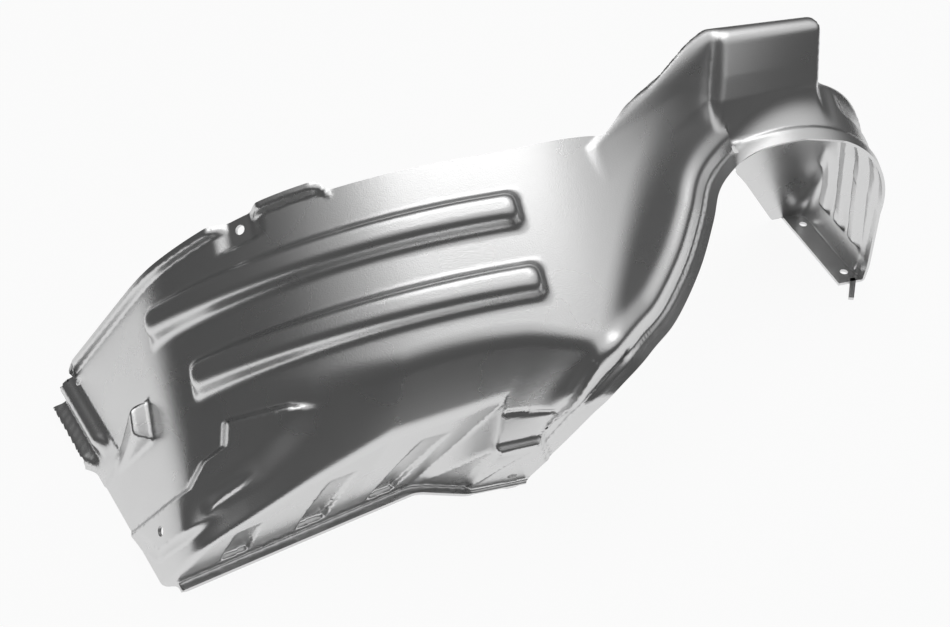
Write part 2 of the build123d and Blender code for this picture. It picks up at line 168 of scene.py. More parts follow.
@dataclass
class ArchFrame:
    """Tilted frame of the barrel: x along, w across towards the wing, n outwards."""

    tilt: float = math.radians(30.2)
    axis_z: float = -204.4

    def split(self, p: Array) -> tuple[Array, Array, Array]:
        """Coordinates of points in this frame.

        Args:
            p: Points.

        Returns:
            Their x, w and n.
        """
        c, s = math.cos(self.tilt), math.sin(self.tilt)
        y, z = p[:, 1], p[:, 2] - self.axis_z
        return p[:, 0], y * c + z * s, z * c - y * s

    def way(self, x: float, w: float, n: float) -> Array:
        """Direction with the parts x, w and n, which make a unit vector."""
        c, s = math.cos(self.tilt), math.sin(self.tilt)
        return np.array([x, w * c - n * s, w * s + n * c])


ARCH = ArchFrame()


@dataclass
class Barrel:
    """Barrel over the wheel with its nose, bay slope and wing edge."""

    radius: float = 400.0
    bend: float = math.radians(45.0)
    fall: float = math.radians(57.0)
    slope_point: tuple = (98.0, -49.0, 216.0)
    slope_normal: tuple = (0.538, -0.579, 0.612)
    wing_w: float = 247.0
    edge_w: float = 256.0
    turn_x: float = -235.0
    turn: tuple = (-0.247, 0.969)
    turn_round: float = 20.0
    saddle_x: tuple = (92.0, 110.0)
    saddle_end: tuple = (228.0, 242.0)
    saddle_reach: float = 66.0
    crown_x: tuple = (-140.0, -130.0)
    crown_end: tuple = (-10.0, 95.0)
    crown_trim: float = 8.0
    ridge_point: tuple = (98.0, 24.0)
    ridge_aside: tuple = (-0.652, 0.758)
    ridge_margin: float = 6.0
    gap_x: tuple = (60.0, 170.0)
    gap_shift: float = 40.0
    gap_depth: float = 8.0
    gap_clear: float = 2.0

    def height(self, p: Array) -> Array:
        """Height of points over the barrel's round face."""
        x, _, n = ARCH.split(p)
        return np.hypot(x, n) - self.radius

    def from_bend(self, p: Array) -> tuple[Array, Array]:
        """How far points lie along x and n from the bend between barrel and nose."""
        x, _, n = ARCH.split(p)
        return x + self.radius * math.sin(self.bend), n - self.radius * math.cos(self.bend)

    def nose(self, p: Array) -> Array:
        """Height of points over the flat nose."""
        x, n = self.from_bend(p)
        return -math.sin(self.fall) * x + math.cos(self.fall) * n

    def nose_drop(self, p: Array) -> Array:
        """Distance of points down the nose from the bend."""
        x, n = self.from_bend(p)
        return -math.cos(self.fall) * x - math.sin(self.fall) * n

    def hull(self, p: Array) -> Array:
        """Barrel and nose, cut by the slope to the strut bay.

        Args:
            p: Points.

        Returns:
            Distance of each point outside.
        """
        slope = (p - np.array(self.slope_point)) @ np.array(self.slope_normal)
        body = smax(self.height(p), self.nose(p), Round.FIRM.value)
        return smax(body, slope, Round.FIRM.value)

    def wing(self, p: Array, w_edge: float) -> Array:
        """Distance beyond a line along the wing edge, which turns in at the nose.

        Args:
            p: Points.
            w_edge: Where the line crosses the barrel.

        Returns:
            Distance of each point beyond the line.
        """
        x, w, _ = ARCH.split(p)
        saddle = smoothstep(*self.saddle_x, x) * fade(*self.saddle_end, x)
        crown = smoothstep(*self.crown_x, x) * fade(*self.crown_end, x)
        edge = w_edge + self.saddle_reach * saddle - self.crown_trim * crown
        turned = (x - self.turn_x) * self.turn[0] + (w - w_edge) * self.turn[1]
        return smax(w - edge, turned, self.turn_round)

    def beyond(self, p: Array) -> Array:
        """Distance beyond the wing edge; past its rear end the tower's ridge is the limit.

        Args:
            p: Points.

        Returns:
            Distance of each point, negative on the sheet's side.
        """
        _, w, _ = ARCH.split(p)
        flat = p[:, :2] - np.array(self.ridge_point)
        behind = np.minimum(w - self.edge_w, flat @ np.array(self.ridge_aside) + self.ridge_margin)
        return np.maximum(self.wing(p, self.edge_w), behind)

    def gap(self, p: Array) -> Array:
        """Wheel clearance beyond the wing edge.

        Args:
            p: Points.

        Returns:
            Distance of each point outside the clearance.
        """
        x, w, n = ARCH.split(p)
        ahead = x + self.gap_shift * smoothstep(*self.gap_x, x)
        over = np.hypot(ahead, n) - (self.radius - self.gap_depth)
        return np.maximum(over, self.edge_w + self.gap_clear - w)


@dataclass
class WingLip:
    """Upstand along the wing edge, with gaps at the clip tab and over the crown."""

    lift: float = 7.0
    drop: float = 5.0
    tab_deg: float = 31.0
    tab_half: float = 2.5
    end_deg: float = 20.0
    soft_deg: float = 1.2
    side: tuple = (-1.0, 5.0)
    ledge: tuple = (-18.0, -12.0)
    start_w: tuple = (150.0, 170.0)
    end_x: tuple = (66.0, 92.0)

    def relief(self, p: Array, barrel: Barrel) -> Array:
        """Height of the lip over the barrel.

        Args:
            p: Points.
            barrel: Barrel that the lip runs along.

        Returns:
            Height at each point, below nothing where the tab steps down.
        """
        x, w, n = ARCH.split(p)
        turn = np.degrees(np.arctan2(-x, n))
        tab = plateau(np.abs(turn - self.tab_deg) - self.tab_half, 2 * self.soft_deg)
        raised = smoothstep(self.end_deg - self.soft_deg, self.end_deg + self.soft_deg, turn) * (1.0 - tab)
        wing = barrel.wing(p, barrel.wing_w)
        strip = smoothstep(*self.side, wing) * smoothstep(*self.start_w, w)
        level = self.lift * raised * strip - self.drop * smoothstep(*self.ledge, wing) * tab
        return level * fade(*self.end_x, x)


@dataclass
class EngineWall:
    """Wall on the engine side: foot, waist and shoulder lines that lean to the rear.

    A station holds its x at the foot, the wall's lean there, how far the wall stands
    out, and how far its waist is pushed in w and n.
    """

    stations: tuple = (
        (-430.0, 0.00, 0.0, 0.0, 0.0), (-284.0, 0.00, 0.0, 0.0, 0.0), (-241.0, 0.10, 0.0, 0.0, 0.0),
        (-199.0, 0.20, 0.0, -1.0, 4.0), (-155.0, 0.32, 0.0, -6.0, 16.0), (-98.0, 0.50, 0.0, -8.0, 23.0),
        (-90.0, 0.50, 2.0, -35.0, -13.0), (-58.0, 0.52, 13.0, -24.0, -16.0), (-51.0, 0.52, 15.0, -8.0, 18.0),
        (20.0, 0.55, 15.0, -8.0, 18.0), (300.0, 0.55, 15.0, 0.0, 0.0),
    )
    start_x: float = -284.0
    level_x: float = -90.0
    foot_w: tuple = (-14.0, 0.232)
    foot_n: tuple = (245.0, -0.139)
    waist_w: float = 0.34
    waist_n: tuple = (289.0, 0.30, -0.0005)
    waist_climb: float = 0.1
    shoulder_w: float = 92.0
    shoulder_step: float = 4.0
    shoulder_x: float = 330.0
    lip_width: float = 9.0
    radius: float = 400.0
    mean_lean: float = 0.3
    mean_n: float = 230.0
    first_n: tuple = (300.0, 380.0)
    turns: int = 6
    names: tuple = ("foot", "waist", "top")
    table: dict = field(default_factory=dict)

    def corners(self, x: float, lean: float, out: float, push_w: float, push_n: float) -> tuple:
        """Corners of the wall's section at one station.

        Args:
            x: Place of the section's foot.
            lean: Run in x for each unit of rise.
            out: How far the wall stands out.
            push_w: Shift of the waist in w.
            push_n: Shift of the waist in n.

        Returns:
            Foot, waist and shoulder, each as w and n.
        """
        run = min(x, self.level_x) - self.start_x
        foot_w = self.foot_w[0] + self.foot_w[1] * run + self.lip_width - out
        foot = (foot_w, self.foot_n[0] + self.foot_n[1] * run)
        waist, top = ((0.0, n) for n in self.first_n)
        for _ in range(self.turns):
            way = x + lean * (waist[1] - foot[1])
            run = min(way, self.level_x) - self.start_x
            rise = self.waist_n[0] + self.waist_n[1] * run + self.waist_n[2] * run * run
            rise += self.waist_climb * max(way - self.level_x, 0.0)
            waist = (self.waist_w * run - out + push_w, rise + push_n)
            way = x + lean * (top[1] - foot[1])
            crown = math.sqrt(self.radius**2 - min(abs(way), self.shoulder_x) ** 2)
            top = (self.shoulder_w - out, max(crown, waist[1] + self.shoulder_step))
        return foot, waist, top

    def __post_init__(self) -> None:
        """Table the wall's lines by station."""
        rows = [self.corners(*s) for s in self.stations]
        self.table = {"x": [s[0] for s in self.stations], "lean": [s[1] for s in self.stations]}
        for i, name in enumerate(self.names):
            self.table[name + "_w"] = [r[i][0] for r in rows]
            self.table[name + "_n"] = [r[i][1] for r in rows]

    def line(self, name: str, x: Array) -> Array:
        """One of the wall's tabled lines at foot places x."""
        return np.interp(x, self.table["x"], self.table[name])

    def distance(self, p: Array) -> Array:
        """Distance of points outside the wall.

        Args:
            p: Points.

        Returns:
            Distance of each point from the nearer of the wall's two faces.
        """
        x, w, n = ARCH.split(p)
        at = x - self.mean_lean * (n - self.mean_n)
        for _ in range(self.turns - 1):
            at = x - self.line("lean", at) * (n - self.line("foot_n", at))
        ws = [self.line(name + "_w", at) for name in self.names]
        ns = [self.line(name + "_n", at) for name in self.names]
        faces = []
        for i in range(2):
            dw, dn = ws[i + 1] - ws[i], ns[i + 1] - ns[i]
            faces.append(((n - ns[i]) * dw - (w - ws[i]) * dn) / np.hypot(dw, dn))
        return smax(faces[0], faces[1], Round.FIRM.value)


@dataclass
class Beads:
    """Two stiffening beads along the barrel: edges across, start and end angle."""

    spans: tuple = ((180.0, 212.0, 46.0, -1.5), (118.5, 150.0, 40.3, -2.0))
    height: float = 14.0
    draft: float = 0.5
    corner: float = 9.0
    crest: float = 5.5

    def add(self, p: Array, body: Array, barrel: Barrel) -> Array:
        """Body with the beads raised on it.

        Args:
            p: Points.
            body: Distance of each point outside the body.
            barrel: Barrel that the beads stand on.

        Returns:
            Distance of each point outside the body and its beads.
        """
        x, w, n = ARCH.split(p)
        up = barrel.height(p)
        turn = np.degrees(np.arctan2(-x, n))
        for w0, w1, start, end in self.spans:
            side = np.abs(w - (w0 + w1) / 2) - (w1 - w0) / 2 + self.draft * up
            arc = np.abs(turn - (start + end) / 2) - (start - end) / 2
            stop = np.radians(arc) * barrel.radius + self.draft * up
            bead = smax(smax(side, stop, self.corner), up - self.height, self.crest)
            body = smin(body, bead, Round.FIRM.value)
        return body


@dataclass
class Panel:
    """Raised panel along the shoulder that wraps over the nose into a screw tongue."""

    outline: tuple = (
        (-150.0, 74.0), (-192.0, 87.0), (-240.0, 92.0), (-244.0, 74.0), (-262.0, 68.0),
        (-276.0, 52.0), (-330.0, 44.0), (-309.0, 14.0), (-284.0, 17.0), (-215.0, 36.0),
    )
    lower_corners: int = 3
    height: float = 9.0
    side: float = 8.0
    end_x: tuple = (-205.0, -152.0)
    blend_x: tuple = (-286.0, -250.0)
    blend: tuple = (2.0, 30.0)
    strip: tuple = ((-266.0, 73.0), (-223.0, 97.0))
    strip_half: float = 2.5
    strip_side: float = 5.0
    strip_height: float = 2.2
    strip_start: tuple = (-270.0, -260.0)
    strip_end: tuple = (-245.0, -222.0)
    strip_y: float = -60.0

    def relief(self, p: Array) -> Array:
        """Height of the panel over the shoulder, with the shallow strip along its lower edge.

        Args:
            p: Points.

        Returns:
            Height at each point.
        """
        x, w, _ = ARCH.split(p)
        raised = self.height * plateau(polygon_distance(x, w, self.outline), self.side)
        raised = raised * fade(*self.end_x, x)
        lower = path_distance(x, w, self.outline[-self.lower_corners :] + self.outline[:1])
        raised = raised * (1.0 - smoothstep(*self.blend_x, x) * fade(*self.blend, lower))
        strip = plateau(path_distance(x, p[:, 2], self.strip) - self.strip_half, self.strip_side)
        strip = strip * smoothstep(*self.strip_start, x) * fade(*self.strip_end, x)
        return raised + self.strip_height * strip * (p[:, 1] < self.strip_y)


@dataclass
class Flutes:
    """Flutes in the engine-side wall, deepest at the foot: left foot x, width, height, lean."""

    places: tuple = ((-262.0, 21.0, 40.0, 0.40), (-199.0, 23.0, 66.0, 0.45), (-137.0, 23.0, 88.0, 0.50))
    foot_z: float = 11.0
    foot: tuple = (-2.0, 2.5)
    depth: float = 5.5
    side: float = 4.0
    taper: float = 0.7
    wall_y: float = -30.0

    def relief(self, p: Array) -> Array:
        """Depth of the flutes, below nothing.

        Args:
            p: Points.

        Returns:
            Height at each point, negative in a flute.
        """
        x, y, rise = p[:, 0], p[:, 1], p[:, 2] - self.foot_z
        total = np.zeros(len(p))
        for x0, width, height, lean in self.places:
            across = np.abs(x - x0 - width / 2 - lean * rise) - width / 2
            taper = np.clip(1.0 - rise / height, 0.0, 1.0) ** self.taper
            total -= self.depth * plateau(across, self.side) * taper * smoothstep(*self.foot, rise)
        return total * (y < self.wall_y)


@dataclass
class Block:
    """Part of the wall that stands out by the bay: its screw pad, step line and grooves."""

    pad: tuple = ((-52.0, -9.0), (-37.0, 90.0), (1.0, 92.0), (30.0, -9.0))
    pad_height: float = 5.0
    pad_side: float = 7.0
    lines: tuple = (
        ((-28.0, 121.0), (9.0, 118.0)),
        ((38.0, 164.0), (25.0, 141.0), (13.0, 120.0), (-2.0, 93.0)),
        ((67.0, 162.0), (50.0, 148.0), (34.0, 132.0), (26.0, 119.0), (19.0, 94.0), (12.0, 69.0)),
    )
    line_depth: float = 1.8
    line_half: float = 1.6
    line_side: float = 4.4
    front_y: tuple = (-62.0, -52.0)

    def relief(self, p: Array) -> Array:
        """Height of the pad less the depth of the lines.

        Args:
            p: Points.

        Returns:
            Height at each point.
        """
        x, z = p[:, 0], p[:, 2]
        total = self.pad_height * plateau(polygon_distance(x, z, self.pad), self.pad_side)
        for line in self.lines:
            total -= self.line_depth * plateau(path_distance(x, z, line) - self.line_half, self.line_side)
        return total * fade(*self.front_y, p[:, 1])


@dataclass
class Ramp:
    """Clip ramp on the nose, wide and high at its upper end."""

    top: float = 30.0
    length: float = 65.0
    height: float = 17.0
    centre: tuple = (125.0, 108.0)
    half: tuple = (18.0, 8.0)
    draft: float = 0.35
    end_draft: float = 0.15
    roof_scale: float = 0.96
    root: float = 12.0

    def add(self, p: Array, body: Array, barrel: Barrel) -> Array:
        """Body with the ramp raised on the nose.

        Args:
            p: Points.
            body: Distance of each point outside the body.
            barrel: Barrel with the nose.

        Returns:
            Distance of each point outside the body and its ramp.
        """
        _, w, _ = ARCH.split(p)
        drop, up = barrel.nose_drop(p), barrel.nose(p)
        t = (drop - self.top) / self.length
        mid = self.centre[0] + (self.centre[1] - self.centre[0]) * t
        half = self.half[0] + (self.half[1] - self.half[0]) * t
        side = np.abs(w - mid) - half + self.draft * up
        roof = (up - self.height * (1.0 - t)) * self.roof_scale
        end = self.top - drop + self.end_draft * up
        solid = smax(smax(side, roof, Round.FIRM.value), end, Round.TIGHT.value)
        return smin(body, np.maximum(solid, -up - self.root), Round.TIGHT.value)


@dataclass
class FrontFoot:
    """Corrugated foot under the nose: span along the floor and its two beads."""

    span: tuple = (14.0, 104.0)
    rise: tuple = (-14.0, 7.0, 11.0, 17.0, 21.0, 30.0, 37.0)
    out: tuple = (11.0, 11.0, 2.0, 2.0, 9.0, 9.0, 0.0)
    rounding: tuple = (-2.5, 0.0, 2.5)
    start: tuple = (-6.0, 14.0)
    start_margin: float = 20.0
    end_lean: float = 0.3
    end_rise: float = 20.0
    top: float = 38.0
    root: float = 12.0
    face_scale: float = 0.75
    cut_x: float = -330.0
    cut_back: float = 2.5
    cut_end: float = 8.0
    uncut: float = -50.0

    def distance(self, p: Array, barrel: Barrel) -> Array:
        """Distance of points outside the foot, which stands on the nose's plane.

        Args:
            p: Points.
            barrel: Barrel with the nose.

        Returns:
            Distance of each point.
        """
        ahead = ARCH.way(-math.sin(barrel.fall), 0.0, math.cos(barrel.fall))
        level = math.hypot(ahead[0], ahead[1])
        height = barrel.nose(p)
        rise = (p - height[:, None] * ahead)[:, 2] / level
        sections = [np.interp(rise + step, self.rise, self.out) for step in self.rounding]
        section = sum(sections) / len(sections)
        near = smoothstep(self.span[0] + self.start[0], self.span[0] + self.start[1], p[:, 1])
        face = (height - section * near) * self.face_scale
        end = (p[:, 1] - self.span[1] - self.end_lean * (rise - self.end_rise)) * level / abs(ahead[0])
        body = np.maximum(face, np.maximum(end, self.span[0] - self.start_margin - p[:, 1]))
        return np.maximum(np.maximum(body, rise - self.top), -height - self.root)

    def cut(self, p: Array, barrel: Barrel) -> Array:
        """Function that is positive at the foot's back, which the sheet leaves open.

        Args:
            p: Points.
            barrel: Barrel with the nose.

        Returns:
            Depth of each point in what is cut away.
        """
        back = self.cut_back - self.root - barrel.nose(p)
        end = p[:, 1] - self.span[1] - self.cut_end
        cut = np.maximum(back, np.minimum(end, back + self.cut_end))
        return np.where(p[:, 0] < self.cut_x, cut, self.uncut)


@dataclass
class BayTrim:
    """Strut bay opening, drawn square on along the trimming direction."""

    front_y: float = 84.0
    front_lean: float = 0.122
    edge: tuple = (
        (27.0, -57.0), (55.6, -20.8), (87.4, 22.0), (120.5, 57.4), (145.8, 82.4), (172.0, 125.0),
        (189.0, 167.0), (198.0, 196.0), (216.0, 218.0), (236.0, 233.5), (257.0, 241.0), (285.0, 247.0),
    )
    foot_run: float = -130.0
    far: float = 900.0
    flange: float = 12.0
    flange_height: float = 3.0
    flange_side: float = 6.0
    ridge: float = 25.0
    ridge_height: float = 6.0
    ridge_width: float = 9.0
    ridge_z: tuple = (106.0, 140.0)
    low: tuple = (-160.0, -420.0)
    high: tuple = (560.0, 330.0)
    step: float = 2.0
    border: float = 1.001
    grid: Array | None = None

    def smooth_edge(self, parts: int = 6) -> list:
        """Edge with a smooth curve through its points.

        Args:
            parts: Stretches between two points.

        Returns:
            Corner pairs of the curve.
        """
        pts = [np.array(q) for q in self.edge]
        pts = [2 * pts[0] - pts[1]] + pts + [2 * pts[-1] - pts[-2]]
        line = []
        for a, b, c, d in zip(pts, pts[1:], pts[2:], pts[3:]):
            for t in np.arange(parts) / parts:
                curve = 2 * b + (c - a) * t + (2 * a - 5 * b + 4 * c - d) * t**2
                line.append(0.5 * (curve + (3 * b - a - 3 * c + d) * t**3))
        return [tuple(q) for q in line] + [self.edge[-1]]

    def __post_init__(self) -> None:
        """Sample the outline's distance on a plane grid."""
        axes = [np.arange(a, b, self.step) for a, b in zip(self.low, self.high)]
        u, v = np.meshgrid(*axes, indexing="ij")
        line = self.smooth_edge()
        closing = [(self.far, line[-1][1]), (self.far, -self.far), (line[0][0] + self.foot_run, -self.far)]
        self.grid = polygon_distance(u.ravel(), v.ravel(), line + closing).reshape(u.shape)

    def outline(self, p: Array) -> Array:
        """Distance of points from the opening's outline, negative inside.

        Args:
            p: Points.

        Returns:
            Distance of each point, square to the trimming direction.
        """
        right, up, _ = view_axes()
        last = np.array(self.grid.shape) - self.border
        fu = np.clip((p @ right - self.low[0]) / self.step, 0, last[0])
        fv = np.clip((p @ up - self.low[1]) / self.step, 0, last[1])
        i, j = fu.astype(int), fv.astype(int)
        a, b = fu - i, fv - j
        g = self.grid
        below = g[i, j] * (1 - a) + g[i + 1, j] * a
        above = g[i, j + 1] * (1 - a) + g[i + 1, j + 1] * a
        return below * (1 - b) + above * b

    def past_front(self, p: Array) -> Array:
        """Distance of points behind the leg's front edge, which leans."""
        return p[:, 1] + self.front_lean * p[:, 2] - self.front_y

    def opening(self, p: Array) -> Array:
        """Distance of points from the space that is cut out."""
        return np.maximum(self.outline(p), self.past_front(p))

    def relief(self, p: Array) -> Array:
        """Height of the flange along the edge and of the soft ridge behind it.

        Args:
            p: Points.

        Returns:
            Height at each point.
        """
        away = self.opening(p)
        flange = self.flange_height * plateau(away - self.flange, self.flange_side)
        ridge = self.ridge_height * np.exp(-(((away - self.ridge) / self.ridge_width) ** 2))
        return (flange + ridge) * smoothstep(*self.ridge_z, p[:, 2])


@dataclass
class RearLeg:
    """Arch of the rear leg, swept across the car and closed towards the wing."""

    x: float = 302.0
    z: float = 90.0
    radius: float = 115.0
    flare: float = 0.125
    crown_scale: float = 0.93
    wall_x: float = 427.0
    y: float = 62.0
    front_reach: float = 18.0
    end_y: float = 216.0
    end_lean: tuple = (0.93, 0.37)
    end_round: float = 18.0
    floor_round: float = 4.0
    grooves: tuple = ((98.0, 114.0), (130.0, 146.0), (162.0, 178.0))
    groove_depth: float = 8.0
    groove_side: float = 8.0
    groove_z: tuple = (34.0, 44.0)
    groove_x: tuple = (361.0, 385.0)
    cut_start: tuple = (309.0, 174.0, 105.0)
    cut_kept: tuple = (0.809, -0.053, 0.585)
    cut_z: float = 150.0
    cut_reach: float = 1.3
    cut_margin: float = 6.0
    cut_front: float = 3.0
    flange_x: float = 400.0
    floor_z: float = 1.5
    floor_x: float = 150.0

    def arch(self, p: Array) -> Array:
        """Distance of points outside the swept arch.

        Args:
            p: Points.

        Returns:
            Distance of each point.
        """
        x = p[:, 0] - self.x
        z = p[:, 2] - (p[:, 1] - self.y) * math.tan(ARCH.tilt) - self.z
        right = np.minimum(self.radius + np.maximum(-z, 0.0) * self.flare, self.wall_x - self.x)
        flat = np.where(x > 0, x - right, -x - self.radius)
        return np.where(z > 0, (np.hypot(x, z) - self.radius) * self.crown_scale, flat)

    def end(self, p: Array) -> Array:
        """Distance of points beyond the closed end."""
        return (p[:, 1] - self.end_y) * self.end_lean[0] + p[:, 2] * self.end_lean[1]

    def distance(self, p: Array, bay: BayTrim) -> Array:
        """Leg with its grooves, its foot flange and the flange round its front edge.

        Args:
            p: Points.
            bay: Opening that the leg's front edge belongs to.

        Returns:
            Distance of each point outside the leg.
        """
        rim = bay.flange_height * plateau(bay.past_front(p) - bay.flange, bay.flange_side)
        depth = np.zeros(len(p))
        for y0, y1 in self.grooves:
            across = np.abs(p[:, 1] - (y0 + y1) / 2) - (y1 - y0) / 2
            depth += self.groove_depth * plateau(across, self.groove_side)
        depth *= smoothstep(*self.groove_z, p[:, 2]) * smoothstep(*self.groove_x, p[:, 0])
        body = smax(self.arch(p) + depth - rim, self.end(p), self.end_round)
        body = smax(body, -p[:, 2], self.floor_round)
        return np.maximum(body, np.minimum(self.y - self.front_reach - p[:, 1], bay.outline(p)))

    def flank_cut(self, p: Array) -> Array:
        """Function that is positive where the leg's inner flank is cut away above the floor.

        Args:
            p: Points.

        Returns:
            Depth of each point in what is cut away.
        """
        kept = (p - np.array(self.cut_start)) @ np.array(self.cut_kept)
        cut = np.minimum(np.minimum(-kept, self.cut_z - p[:, 2]), p[:, 1] - self.y + self.cut_front)
        left, right = self.x - self.cut_reach * self.radius, self.flange_x - self.cut_margin
        return np.minimum(cut, np.minimum(p[:, 0] - left, right - p[:, 0]))

    def floor_cut(self, p: Array) -> Array:
        """Function that is positive where the closed bottom is cut away inside its flange."""
        low = np.minimum(self.floor_z - p[:, 2], p[:, 1] - self.y + self.cut_front)
        return np.minimum(low, np.minimum(self.flange_x - p[:, 0], p[:, 0] - self.floor_x))


@dataclass
class Tower:
    """Pocket over the rear corner: outlines at rising heights."""

    heights: tuple = (170.0, 240.0, 258.0, 290.0)
    outlines: tuple = (
        ((40.0, -7.0), (214.0, 66.0), (220.0, 57.0), (334.0, 78.0), (350.0, 150.0), (155.0, 150.0)),
        ((88.0, -4.0), (226.0, 95.0), (233.0, 84.0), (338.0, 98.0), (346.0, 150.0), (215.0, 150.0)),
        ((87.0, 16.0), (230.0, 106.0), (238.0, 95.0), (339.0, 105.0), (344.0, 148.0), (240.0, 148.0)),
        ((219.0, 128.0), (238.0, 124.0), (245.0, 117.0), (341.0, 117.0), (339.0, 134.0), (231.0, 135.0)),
    )
    foot_z: float = 140.0
    soft: float = 3.5
    side_scale: float = 0.8
    low: tuple = (-30.0, -60.0, 100.0)
    high: tuple = (390.0, 190.0, 400.0)
    far: float = 200.0

    def distance(self, p: Array) -> Array:
        """Distance of points outside the tower.

        Args:
            p: Points.

        Returns:
            Distance of each point near the tower, and one far value for the others.
        """
        out = np.full(len(p), self.far)
        near = ((p > np.array(self.low)) & (p < np.array(self.high))).all(axis=1)
        q = p[near]
        corners = []
        for ring in zip(*self.outlines):
            corners.append(tuple(np.interp(q[:, 2], self.heights, values) for values in zip(*ring)))
        s = self.soft
        shifts = ((0.0, 0.0), (s, 0.0), (-s, 0.0), (0.0, s), (0.0, -s))
        side = sum(polygon_distance(q[:, 0] + a, q[:, 1] + b, corners) for a, b in shifts) / len(shifts)
        body = smax(side * self.side_scale, q[:, 2] - self.heights[-1], Round.SOFT.value)
        out[near] = np.maximum(body, self.foot_z - q[:, 2])
        return out


@dataclass
class Punch:
    """Punched holes: a point on each axis and its direction."""

    radius: float = 4.25
    reach: float = 11.0
    axes: tuple = (
        ((-13.0, -100.7, 17.5), (0.0, -0.91873, -0.39488)),
        ((-302.2, -108.3, 41.3), (-0.83867, -0.27396, 0.47072)),
        ((-362.1, 97.4, 35.3), (-0.83867, -0.27396, 0.47072)),
        ((-202.7, 41.2, 209.9), (-0.51504, -0.43117, 0.74083)),
        ((415.0, 101.0, 1.5), (0.0, 0.0, 1.0)),
        ((415.0, 193.0, 1.5), (0.0, 0.0, 1.0)),
    )

    def inside(self, p: Array) -> Array:
        """Depth of points inside the nearest hole, below nothing outside it.

        Args:
            p: Points.

        Returns:
            Depth of each point.
        """
        best = np.full(len(p), -np.inf)
        for spot, way in self.axes:
            rel = p - np.array(spot)
            along = rel @ np.array(way)
            away = np.linalg.norm(rel - along[:, None] * np.array(way), axis=1)
            best = np.maximum(best, np.minimum(self.radius - away, self.reach - np.abs(along)))
        return best


@dataclass
class Mould:
    """Whole mould: every form that the sheet is drawn over, and where it is trimmed."""

    barrel: Barrel = field(default_factory=Barrel)
    wing_lip: WingLip = field(default_factory=WingLip)
    wall: EngineWall = field(default_factory=EngineWall)
    beads: Beads = field(default_factory=Beads)
    panel: Panel = field(default_factory=Panel)
    flutes: Flutes = field(default_factory=Flutes)
    block: Block = field(default_factory=Block)
    ramp: Ramp = field(default_factory=Ramp)
    foot: FrontFoot = field(default_factory=FrontFoot)
    bay: BayTrim = field(default_factory=BayTrim)
    leg: RearLeg = field(default_factory=RearLeg)
    tower: Tower = field(default_factory=Tower)
    punch: Punch = field(default_factory=Punch)
    cap: float = 262.0
    lip_z: float = 3.0
    lip_reach: float = 16.0
    lip_nose: float = 9.0
    lip_end_x: float = 60.0
    lip_top: float = 9.0
    heel: tuple = (380.0, 60.0)
    heel_z: float = 2.0
    foot_margin: float = 1.5

    def rough(self, p: Array) -> Array:
        """Main masses only, to find where the sheet runs.

        Args:
            p: Points.

        Returns:
            Distance of each point outside them.
        """
        body = smax(self.barrel.hull(p), self.wall.distance(p), Round.SOFT.value)
        body = np.maximum(body, self.barrel.wing(p, self.cap))
        body = np.minimum(np.minimum(body, self.barrel.gap(p)), self.foot.distance(p, self.barrel))
        rear = np.minimum(np.maximum(self.leg.arch(p), self.leg.end(p)), self.tower.distance(p))
        return np.minimum(body, rear)

    def front(self, p: Array) -> Array:
        """Barrel, nose and engine-side wall with all their raised and sunk forms.

        Args:
            p: Points.

        Returns:
            Distance of each point outside them.
        """
        wall = self.wall.distance(p)
        body = smax(self.barrel.hull(p), wall, Round.SOFT.value)
        body = body - self.panel.relief(p) - self.flutes.relief(p) - self.block.relief(p)
        body = body - self.bay.relief(p) - self.wing_lip.relief(p, self.barrel)
        body = self.beads.add(p, body, self.barrel)
        body = self.ramp.add(p, body, self.barrel)
        body = np.maximum(body, self.barrel.wing(p, self.cap))
        body = smin(body, self.foot.distance(p, self.barrel), Round.TIGHT.value)
        plate = np.maximum(wall - self.lip_reach, self.barrel.nose(p) + self.lip_nose)
        plate = np.maximum(np.maximum(plate, p[:, 2] - self.lip_z), p[:, 0] - self.lip_end_x)
        body = smin(body, plate, Round.FIRM.value)
        return np.minimum(body, self.barrel.gap(p))

    def rear(self, p: Array) -> Array:
        """Distance of points outside the rear leg and tower."""
        return smin(self.leg.distance(p, self.bay), self.tower.distance(p), Round.BROAD.value)

    def distance(self, p: Array) -> Array:
        """Distance of points outside the whole mould."""
        return smin(self.front(p), self.rear(p), Round.SOFT.value)

    def floor_cut(self, p: Array) -> Array:
        """Function that is positive under the floor, a little lower at the leg's closed heel."""
        heel = (p[:, 0] > self.heel[0]) & (p[:, 1] > self.heel[1])
        return np.where(heel, -p[:, 2] - self.heel_z, -p[:, 2])

    def wing_cut(self, p: Array) -> Array:
        """Function that is positive past the wing edge, except on the rear and the foot."""
        foot = self.foot.distance(p, self.barrel) - self.foot_margin
        return np.minimum(self.barrel.beyond(p), np.minimum(self.rear(p) - self.front(p), foot))

    def foot_cut(self, p: Array) -> Array:
        """Function that is positive at the foot's back."""
        return self.foot.cut(p, self.barrel)

    def bay_cut(self, p: Array) -> Array:
        """Function that is positive in the strut bay's opening."""
        return -self.bay.opening(p)

    def lip_cut(self, p: Array) -> Array:
        """Function that is positive past the lower lip's edge."""
        return np.minimum(self.wall.distance(p) - self.wall.lip_width, self.lip_top - p[:, 2])

    def trims(self) -> list[Field]:
        """Functions that are positive where the sheet is cut away, in the order of the cuts."""
        edges = [self.floor_cut, self.wing_cut, self.foot_cut, self.bay_cut, self.lip_cut]
        return edges + [self.leg.flank_cut, self.leg.floor_cut, self.punch.inside]


def root_of(parent: list[int], i: int) -> int:
    """First member of the group that a point belongs to.

    Args:
        parent: Another member of each point's group, nearer to the first.
        i: The point.

    Returns:
        The group's first member; the way to it is shortened.
    """
    while parent[i] != i:
        parent[i] = parent[parent[i]]
        i = parent[i]
    return i


